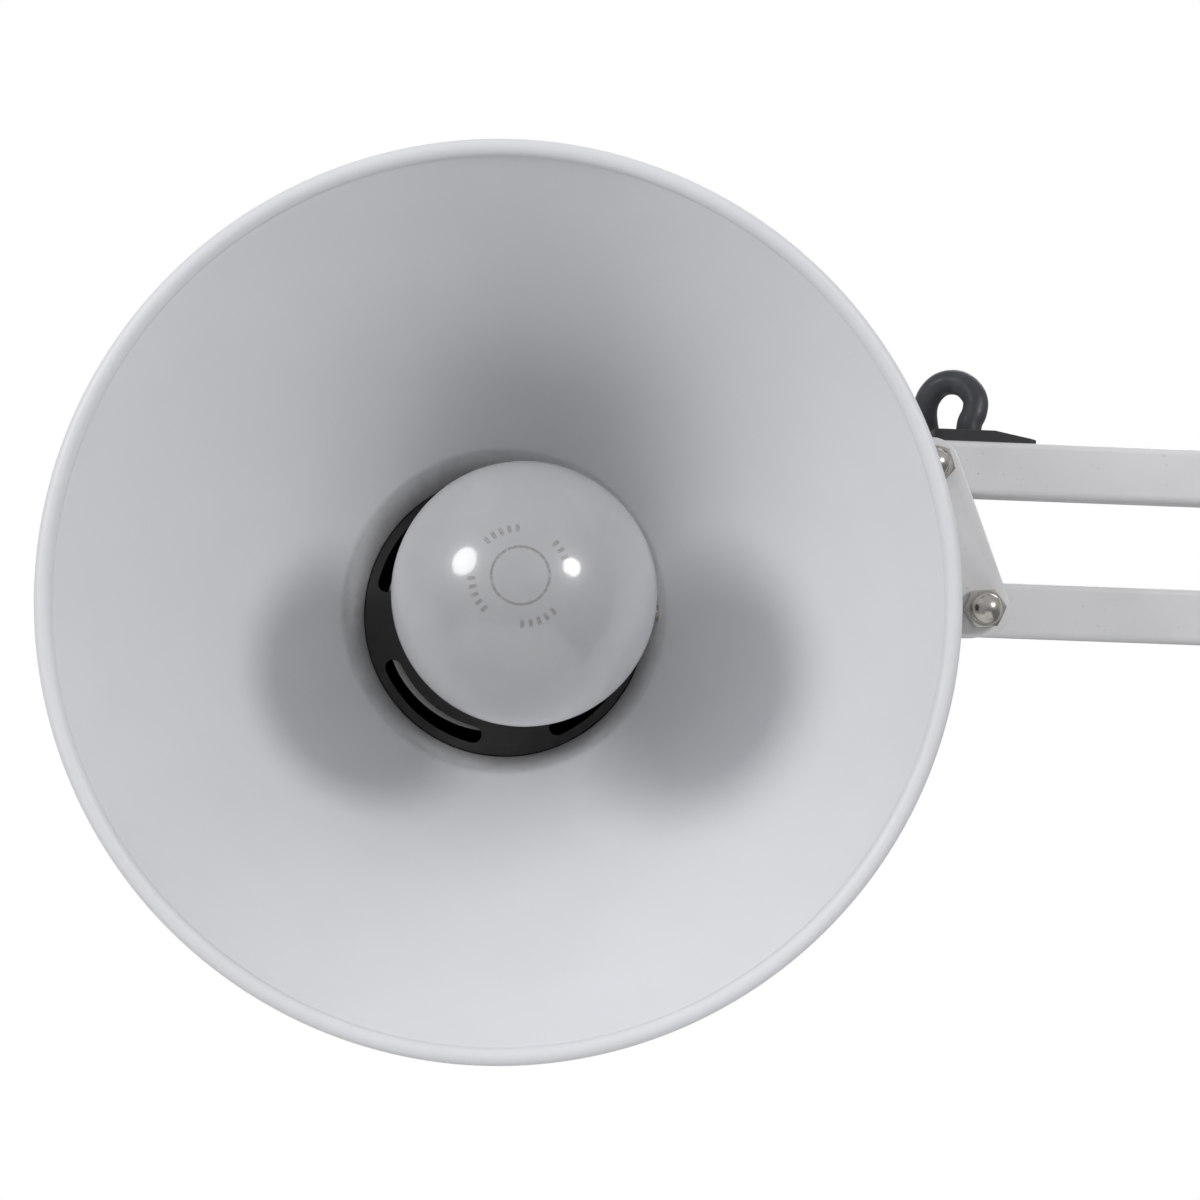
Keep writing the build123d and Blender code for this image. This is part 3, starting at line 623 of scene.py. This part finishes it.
# ---------------------------------------------------------------- cords

def bar_point(pivot, direction, x, up, y):
    """A point given along a bar, across it in the arm plane, and from the arm plane."""
    across = Vector((-direction.z, 0, direction.x))
    return pivot + direction * x + across * up + Vector((0, y, 0))


def about(point, offsets):
    """Points given from a place in the arm plane, as (x, y, z), with y from the arm plane."""
    return [Vector((point.x + dx, y, point.z + dz)) for dx, y, dz in offsets]


def cord(name, route, node_names):
    """A flexible cable as a tube along its route's NURBS line."""
    line = centre_line(route)
    mesh = tube(name, line, FLEX_R)
    obj = piece(name, mesh, "flex_pvc", stands_for=node_names, sharp=60.0)
    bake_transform(obj)


def head_cables():
    """The cable from the cap's gland to the eye on the tilt bolt, and its loop up into the top bar."""
    down = about(HEAD, [(0.052, 0.089, 0), (0.068, 0.089, 0), (0.082, 0.085, -0.0045), (0.091, 0.073, -0.011),
                        (0.093, 0.057, -0.018), (0.090, 0.039, -0.022), (0.085, 0.024, -0.020),
                        (0.082, EYE_Y, -0.012), (0.082, EYE_Y, 0)])
    cord("head_cable", down, ["head_flex"])
    to_elbow = -UPPER_DIR
    loop = about(HEAD, [(0.082, EYE_Y, 0), (0.082, EYE_Y, 0.009), (0.086, 0.0178, 0.0175),
                        (0.0938, 0.0185, 0.0245), (0.0994, 0.0168, 0.033), (0.096, 0.012, 0.0406),
                        (0.095, 0.0084, 0.0466), (0.098, 0.0056, 0.0508), (0.1026, 0.003, 0.0508),
                        (0.1055, 0.001, 0.047), (0.1049, 0, 0.0432)])
    loop += [bar_point(P1, to_elbow, HEAD_EXIT, ENTRY_MOUTH + 0.002, 0),
             bar_point(P1, to_elbow, HEAD_EXIT, ENTRY_MOUTH, 0)]
    cord("loop_cable", loop, ["head_loop"])


def elbow_cables():
    """The cable from the upper bar to the clip on the elbow, and on into the lower bar."""
    clip = E3 + Vector((0.020, 0, -0.023))
    start = bar_point(P1, -UPPER_DIR, ARM - EXIT, 0, ENTRY_MOUTH)
    upper = [start, Vector((start.x, 0.017, start.z))]
    upper += about(E3, [(-0.017, 0.024, -0.0015), (-0.006, 0.026, -0.005), (0.006, 0.024, -0.010),
                        (0.015, CLIP_Y, -0.017), (0.020, CLIP_Y, -0.023)])
    cord("elbow_cable_upper", upper, ["elbow_flex_upper"])
    end = bar_point(S1, LOWER_DIR, ARM - EXIT, 0, ENTRY_MOUTH)
    lower = about(clip, [(0, CLIP_Y, 0), (0.007, CLIP_Y, -0.0084), (0.012, 0.023, -0.018),
                         (0.0125, 0.025, -0.030)])
    lower += about(end, [(0.012, 0.0255, 0.005), (0.004, 0.024, 0.0005), (0, 0.017, 0)])
    lower += [end]
    cord("elbow_cable_lower", lower, ["elbow_flex_lower"])


def base_cable():
    """The cable from the lower bar down to the clip on the shoulder bracket."""
    start = bar_point(S1, LOWER_DIR, EXIT, 0, ENTRY_MOUTH)
    route = [start, Vector((start.x, 0.0175, start.z)), Vector((-0.0045, 0.026, 0.0775)),
             Vector((0.0025, 0.0275, 0.0735)), Vector((0.008, 0.022, 0.067)), BASE_CLIP]
    cord("base_cable", route, ["base_flex"])


COIL_CENTRE = Vector((-0.058, 0.095, 0))
COIL_TURNS = 3
COIL_OUTER, COIL_INNER = 0.0394, 0.0226
POINTS_PER_TURN = 20


def coil_turns():
    """A neat two-layer coil: inwards on the desk, up over half a turn, and outwards on top."""
    points = []
    ramp, top = POINTS_PER_TURN // 2, COIL_TURNS * POINTS_PER_TURN - POINTS_PER_TURN // 2
    low = COIL_TURNS * POINTS_PER_TURN
    for k in range(low + ramp + top + 1):
        share_in = min(k / low, 1.0)
        rise = min(max((k - low) / ramp, 0.0), 1.0)
        share_out = max((k - low - ramp) / top, 0.0)
        r = COIL_OUTER + (COIL_INNER - COIL_OUTER) * (share_in - share_out)
        angle = -pi / 2 - 2 * pi * k / POINTS_PER_TURN
        z = FLEX_R * (1 + 2 * rise)
        points.append(COIL_CENTRE + Vector((r * cos(angle), r * sin(angle), z)))
    return points


def mains_lead():
    """The lead: down from the bracket's clip, along the desk into a neat coil, and out to its plug."""
    route = [BASE_CLIP, Vector((0.008, 0.022, 0.027)), Vector((0.0076, 0.024, 0.017)), Vector((0.0068, 0.0295, 0.009)),
             Vector((0.0052, 0.0375, 0.004)), Vector((0.002, 0.047, 0.0028)), Vector((-0.005, 0.055, 0.0028)),
             Vector((-0.018, 0.0595, 0.0028)), Vector((-0.032, 0.0595, 0.0028)), Vector((-0.046, 0.0566, 0.0028))]
    route += coil_turns()
    route += [Vector((-0.072, 0.0534, 0.0082)), Vector((-0.084, 0.0522, 0.0066)), Vector((-0.095, 0.0526, 0.0048)),
              Vector((-0.105, 0.0545, 0.0054)), Vector((-0.114, 0.0565, 0.0066))]
    cord("supply_lead", route, ["mains_lead", "mains_coil"])


head_cables()
elbow_cables()
base_cable()
mains_lead()


# ---------------------------------------------------------------- shade and bulb

RIM_R, BEAD_R = 0.0925, 0.0018
NECK_START, NECK_END = 0.079, (0.03515, 0.118)
HEAD_PLACE = Matrix.Translation((HEAD.x, RIM_Y, HEAD.z)) @ Matrix.Rotation(radians(-90), 4, "X")


def shade():
    """The spun shade: a thin cone with a rolled rim, and its straight neck."""
    bead = (RIM_R - BEAD_R, BEAD_R)
    fillet = [(0.03728, 0.0800), (0.03740, 0.0789), (0.03770, 0.0778), (0.03815, 0.0768)]
    profile = [NECK_END] + fillet
    profile += [(bead[0] + x * BEAD_R, bead[1] - z * BEAD_R) for x, z in arc((0, 0), 1, 186, -125, 28)]
    profile += [(0.08915, 0.0049), (0.0385, 0.0784), (0.03615, 0.118)]
    mesh = spun("spun_shade", profile, steps=360, closed=True)
    mesh.transform(HEAD_PLACE)
    neck = RIM_Y + NECK_START
    piece("spun_shade", mesh, "white_enamel", "head", ["shade"], [SHADE_WHITE, NECK_PAINTED_LIGHT])
    for face in mesh.polygons:
        towards_axis = face.normal.dot(face.center - Vector((HEAD.x, face.center.y, HEAD.z))) < 0
        face.material_index = int(face.center.y > neck and towards_axis)


BULB_PLACE = (Matrix.Translation((HEAD.x, RIM_Y + 0.094, HEAD.z)) @ Matrix.Rotation(radians(-1.8), 4, "X")
              @ Matrix.Rotation(radians(4.0), 4, "Z"))
BULB_R, BULB_CENTRE, BULB_WALL = 0.028, -0.066, 0.0009
SPIN_TO_Y = Matrix.Rotation(radians(-90), 4, "X")


def bulb():
    """The opal bulb's thin glass, with its neck rolled into the screw cap."""
    flank = [(0.0203, -0.0462), (0.0177, -0.0424), (0.0158, -0.0390), (0.0144, -0.0350), (0.0136, -0.0305),
             (0.0134, -0.0250), (0.0134, -0.0198)]
    outside = [(0.0, BULB_CENTRE - BULB_R)] + arc((0, BULB_CENTRE), BULB_R, -88.5, 35, 56) + flank
    inside = arc((0, BULB_CENTRE), BULB_R - BULB_WALL, -88.5, 35, 56) + [(r - BULB_WALL, h) for r, h in flank]
    profile = outside + inside[::-1] + [(0.0, BULB_CENTRE - BULB_R + BULB_WALL)]
    mesh = spun("opal_bulb", profile, steps=128)
    mesh.transform(SPIN_TO_Y)
    obj = piece("opal_bulb", mesh, "opal_glass", sharp=60.0)
    obj.matrix_world = BULB_PLACE
    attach(obj, "head")
    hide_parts("bulb_glass")


VENT_R, VENT_HOLE_R, VENT_DEPTH, VENT_SHEET = 0.0349, 0.0216, 0.1176, 0.0012
SLOT_R, SLOT_HALF_WIDTH, SLOT_HALF_SPAN = 0.03065, 0.00205, 25.0
STAND_OFF_X, STAND_OFF_R, STAND_OFF_LENGTH = 0.0236, 0.0016, 0.0105


def vent_plate():
    """The black ring plate round the bulb's holder, pierced by four curved slots, on two stand-offs."""
    loops = [circle((0, 0), VENT_R, 120), list(reversed(circle((0, 0), VENT_HOLE_R, 96)))]
    middle, half, span = SLOT_R, SLOT_HALF_WIDTH, SLOT_HALF_SPAN
    for at in (50, 140, 230, 320):
        slot = arc((0, 0), middle + half, at - span, at + span, 24)
        end = radians(at + span)
        slot += arc((middle * cos(end), middle * sin(end)), half, at + span, at + span + 180, 8)[1:]
        slot += arc((0, 0), middle - half, at + span, at - span, 24)[1:]
        start = radians(at - span)
        slot += arc((middle * cos(start), middle * sin(start)), half, at - span + 180, at - span + 360, 8)[1:-1]
        loops.append(list(reversed(slot)))
    ring = plate("ring", loops, VENT_SHEET, 0.0002)
    ring.transform(Matrix.Translation((HEAD.x, RIM_Y + VENT_DEPTH, HEAD.z)) @ ARM_PLANE)
    rods = []
    for x in (-STAND_OFF_X, STAND_OFF_X):
        profile = [(0.0, 0.0), (STAND_OFF_R, 0.0), (STAND_OFF_R, STAND_OFF_LENGTH - 0.0004), (0.0, STAND_OFF_LENGTH)]
        rods.append(moved(spun("rod", profile, 24), HEAD_PLACE @ Matrix.Translation((x, 0, VENT_DEPTH - 0.0001))))
    piece("pierced_vent_plate", joined("vent", [ring, *rods]), "black_plate", "head", ["vent_plate"])


shade()
bulb()
vent_plate()


# ---------------------------------------------------------------- plates

def side_plates(name, points, holes, body, nodes):
    """The front and rear plates of a joint, stamped from sheet with rounded edges."""
    for side, node in zip((-1, 1), nodes):
        loops = [outline_about([flat(p) for p in points], PLATE_R)]
        loops += [list(reversed(circle(flat(p), radius))) for p, radius in holes]
        mesh = plate(name, loops, PLATE_OUT - PLATE_IN)
        in_arm_plane(mesh, side * (PLATE_IN + PLATE_OUT) / 2)
        piece(f"{name}_{'front' if side < 0 else 'rear'}_stamping", mesh, "white_enamel", body, [node])


def anticlockwise(points):
    """The points, turned anticlockwise in (x, z)."""
    area = sum(a.x * b.z - b.x * a.z for a, b in zip(points, points[1:] + points[:1]))
    return points if area > 0 else points[::-1]


side_plates("link", anticlockwise([P1, P2, P3]), [(p, BORE_R) for p in (P1, P2, P3)], "head_link",
            ["link_plate_front", "link_plate_rear"])
side_plates("elbow", anticlockwise([E1, E2, UPPER_HOOK, E3, E4]),
            [(p, BORE_R) for p in (E1, E2, E3, E4)] + [(UPPER_HOOK, PIN_R)], "elbow",
            ["elbow_plate_front", "elbow_plate_rear"])


# ---------------------------------------------------------------- nuts and bolts

def hex_rows(z0, z1, across):
    """Rows of (radius at an angle, height at an angle) for a hexagon with both its faces chamfered."""
    flat_r = across / 2
    face_r = flat_r * 0.97

    def corner(angle):
        """The hexagon's radius at an angle."""
        return flat_r / cos((angle + pi / 6) % (pi / 3) - pi / 6)

    def drop(angle):
        """How far the chamfer comes down at an angle."""
        return max(corner(angle) - face_r, 0.0) * tan(radians(30))

    return [(lambda a: face_r, lambda a: z0), (corner, lambda a: z0 + drop(a)), (corner, lambda a: z1 - drop(a)),
            (lambda a: face_r, lambda a: z1)]


def hex_piece(rows, profile):
    """Hexagon rows and then a plain (radius, height) profile, spun about local Z from a closed underside."""
    steps = 96
    bm = bmesh.new()
    angles = [2 * pi * k / steps for k in range(steps)]
    grid = [[bm.verts.new((0, 0, 0))]]
    for radius, height in rows:
        grid.append([bm.verts.new((radius(a) * cos(a), radius(a) * sin(a), height(a))) for a in angles])
    for r, h in profile:
        grid.append([bm.verts.new((r * cos(a), r * sin(a), h)) for a in angles] if r > 1e-9
                    else [bm.verts.new((0, 0, h))])
    skin(bm, grid)
    return from_bmesh("hex", bm)


def dome_nut():
    """A dome nut standing on z = 0: chamfered hexagon, turned collar and polished dome."""
    dome = [(r, h) for r, h in arc((0, 0.005), 0.0033, 0, 90, 14)]
    dome[-1] = (0.0, 0.0083)
    return hex_piece(hex_rows(0.0, 0.004, NUT_AF), [(0.00345, 0.0040), (0.0033, 0.0042)] + dome)


def bolt_head():
    """A hexagon bolt head standing on z = 0, slightly dished on top."""
    top = 0.0035
    return hex_piece(hex_rows(0.0, top, NUT_AF), [(0.0030, top), (0.0027, top - 0.0002), (0.0, top - 0.0002)])


def at_pivot(p, mesh, z, forward=True, turn=0.0):
    """A part spun about Z set on a plate at a pivot, facing front or back."""
    way = ARM_PLANE if forward else ARM_PLANE @ Matrix.Rotation(pi, 4, "X")
    place = Matrix.Translation((p.x, 0, p.z)) @ way @ Matrix.Translation((0, 0, z))
    return moved(mesh, place @ Matrix.Rotation(radians(turn), 4, "Z"))


def shank(p, r, y0, y1):
    """A plain round pin along Y with rounded ends."""
    end = 0.0003
    low, high = -y1, -y0
    profile = [(0, low), (r - end, low), (r, low + end), (r, high - end), (r - end, high), (0, high)]
    return moved(spun("shank", profile, 40), Matrix.Translation((p.x, 0, p.z)) @ ARM_PLANE)


def fasteners(name, pivots, body, node, pins=()):
    """A bolt and a dome nut at each pivot, each turned as it happened to be tightened, and spring pins."""
    meshes = []
    for k, p in enumerate(pivots):
        meshes.append(at_pivot(p, dome_nut(), PLATE_OUT, turn=17.0 * (k + 1)))
        meshes.append(at_pivot(p, bolt_head(), PLATE_OUT, forward=False, turn=31.0 * (k + 2)))
        meshes.append(shank(p, BOLT_R, -PLATE_OUT - 0.002, PLATE_OUT + 0.001))
    for p in pins:
        meshes.append(shank(p, PIN_R, -PIN_END, PIN_END))
    piece(name, joined(name, meshes), "nickel", body, [node], sharp=24.0)


fasteners("link_nuts_and_bolts", [P1, P2], "head_link", "link_fasteners")
fasteners("elbow_nuts_and_bolts", [E1, E2, E3, E4], "elbow", "elbow_fasteners", [UPPER_HOOK])
fasteners("shoulder_nuts_and_bolts", [S1, S2], "bracket", "shoulder_fasteners", [LOWER_HOOK])


# ---------------------------------------------------------------- springs

WIRE_R = 0.0006
COIL_R = 0.0045 - WIRE_R
SPRING_CLEAR = 0.013


def spring_line(a, b, y):
    """The wire's centre line: a hook round each pin, and close turns between."""
    along = (b - a).normalized()
    length = (b - a).length
    side = Vector((-along.z, 0, along.x))
    out = Vector((0, 1, 0))
    hook_r = PIN_R + WIRE_R + 0.00005
    per_turn = 16
    turns = round((length - 2 * SPRING_CLEAR) / (2 * WIRE_R * 1.01))
    start, end = SPRING_CLEAR, length - SPRING_CLEAR

    def at(u, v, w):
        return a + along * u + side * v + out * (y + w)

    line = [at(hook_r * cos(t), hook_r * sin(t), 0) for t in [radians(60 + 21 * k) for k in range(10)]]
    line.append(at(0.0055, -0.0030, 0.0))
    line.append(at(0.0095, -0.0038, 0.0))
    for k in range(turns * per_turn + 1):
        t = -pi / 2 + 2 * pi * k / per_turn
        line.append(at(start + (end - start) * k / (turns * per_turn), COIL_R * sin(t), COIL_R * cos(t)))
    line.append(at(length - 0.0095, -0.0038, 0.0))
    line.append(at(length - 0.0055, -0.0030, 0.0))
    line += [at(length - hook_r * cos(t), hook_r * sin(t), 0) for t in [radians(249 - 21 * k) for k in range(10)]]
    return line


def springs(name, hook, stud, node):
    """The pair of balancing springs each side of an arm."""
    for side, word in ((-1, "front"), (1, "rear")):
        line = spring_line(hook, stud, side * SPRING_Y)
        mesh = tube(name, line, WIRE_R, 8)
        obj = piece(f"{name}_{word}", mesh, "spring_steel", sharp=60.0)
        if side < 0:
            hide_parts(node)
        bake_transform(obj)


springs("lower_spring", LOWER_HOOK, LOWER_STUD, "lower_springs")
springs("upper_spring", UPPER_HOOK, UPPER_STUD, "upper_springs")


# ---------------------------------------------------------------- lights, desk and world

LIGHT_DISTANCE = 1.5
FLOOR_LIGHT, CEILING_LIGHT = 0.18, 0.55
FLOOR_Z, CEILING_Z = -0.55, 0.65


def soft_light(name, towards, angular_radius, power):
    """A round soft light seen from the head in a direction, at an angular radius in degrees."""
    data = bpy.data.lights.new(name, "AREA")
    data.shape = "DISK"
    data.size = 2 * LIGHT_DISTANCE * tan(radians(angular_radius))
    data.energy = power
    obj = link_object(name, data)
    direction = Vector(towards).normalized()
    obj.location = Vector((HEAD.x, RIM_Y, HEAD.z)) + direction * LIGHT_DISTANCE
    obj.rotation_euler = (-direction).to_track_quat("-Z", "Y").to_euler()


def world():
    """A white backdrop to the camera, and for light a grey room that is brighter overhead."""
    scene_world = bpy.data.worlds.new("studio")
    bpy.context.scene.world = scene_world
    scene_world.use_nodes = True
    tree = scene_world.node_tree
    nodes, links = tree.nodes, tree.links
    split = nodes.new("ShaderNodeSeparateXYZ")
    links.new(nodes.new("ShaderNodeTexCoord").outputs["Generated"], split.inputs[0])
    height = nodes.new("ShaderNodeMapRange")
    height.interpolation_type = "SMOOTHSTEP"
    for key, value in zip((1, 2, 3, 4), (FLOOR_Z, CEILING_Z, FLOOR_LIGHT, CEILING_LIGHT)):
        height.inputs[key].default_value = value
    links.new(split.outputs["Z"], height.inputs[0])
    room = nodes["Background"]
    room.inputs["Color"].default_value = (0.95, 0.97, 1.0, 1)
    links.new(height.outputs[0], room.inputs["Strength"])
    backdrop = nodes.new("ShaderNodeBackground")
    backdrop.inputs["Color"].default_value = (1, 1, 1, 1)
    mix = nodes.new("ShaderNodeMixShader")
    links.new(nodes.new("ShaderNodeLightPath").outputs["Is Camera Ray"], mix.inputs[0])
    links.new(room.outputs[0], mix.inputs[1])
    links.new(backdrop.outputs[0], mix.inputs[2])
    links.new(mix.outputs[0], nodes["World Output"].inputs["Surface"])


def desk():
    """The pale desk top that the clamp grips, its edges eased."""
    x0, x1, y, r = -1.1, 0.019, 0.8, 0.003
    loop = outline_about([(x0 + r, -y + r), (x1 - r, -y + r), (x1 - r, y - r), (x0 + r, y - r)], r, 6)
    mesh = plate("desk", [loop], DESK, 0.002)
    mesh.transform(Matrix.Translation((0, 0, -DESK / 2)))
    obj = link_object("desk_slab", mesh)
    s = Shader("desk_paint")
    tone = s.spread(s.noise(9.0, 4.0, 0.6), 0.3, 0.7)
    s.link(s.mixed(tone, (0.78, 0.78, 0.77, 1), (0.72, 0.72, 0.71, 1)), "Base Color")
    s.link(s.spread(tone, 0.0, 1.0, 0.5, 0.6), "Roughness")
    s.link(s.bump(s.noise(700.0, 2.0, 0.5), 0.00004, 0.3), "Normal")
    mesh.materials.append(s.material)


soft_light("key_left", (-0.765, -0.505, 0.40), 11.0, 7.9)
soft_light("fill_right", (0.65, -0.69, 0.34), 7.4, 6.2)
soft_light("back", (0.35, 0.75, 0.55), 16.0, 4.0)
world()
desk()
bpy.context.scene.view_settings.view_transform = "Standard"
